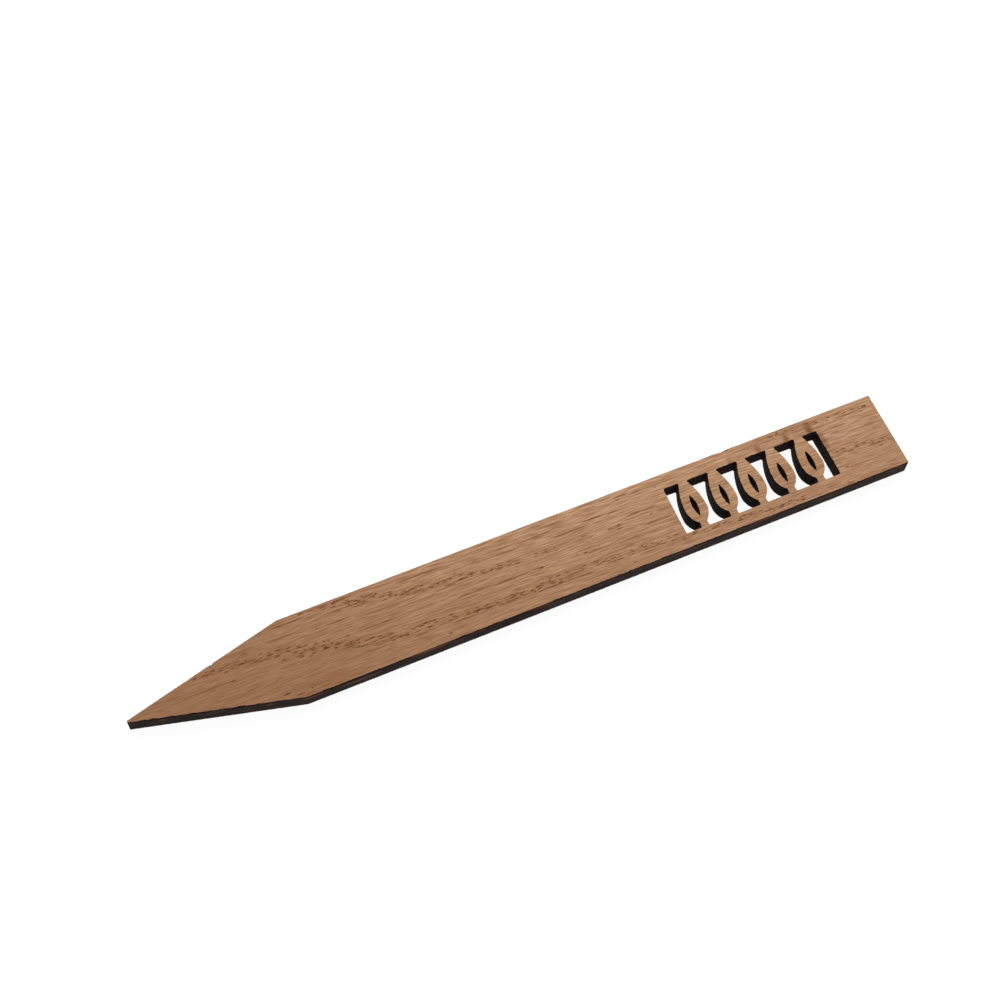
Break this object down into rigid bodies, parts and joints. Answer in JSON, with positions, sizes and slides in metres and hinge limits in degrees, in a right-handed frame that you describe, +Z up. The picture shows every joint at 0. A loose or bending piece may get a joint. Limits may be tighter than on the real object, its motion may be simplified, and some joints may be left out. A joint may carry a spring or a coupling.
{
  "type": "plant label stake",
  "caption": "Flat pointed wooden stake that is pushed into a plant pot, with a row of leaves pierced through it near the square end.",
  "frame": {"origin": "middle of the stake's underside, as it lies flat", "axes": "+X along the stake from the point to the square end, +Z up through the board's thickness, +Y across it towards the leaves' tips"},
  "size_m": [0.2, 0.0208, 0.0048],
  "materials": {
    "oak": "bare sanded oak with a light oil, cut walls charred dark brown"
  },
  "bodies": {
    "root": {"stake": "oak"}
  },
  "joints": []
}
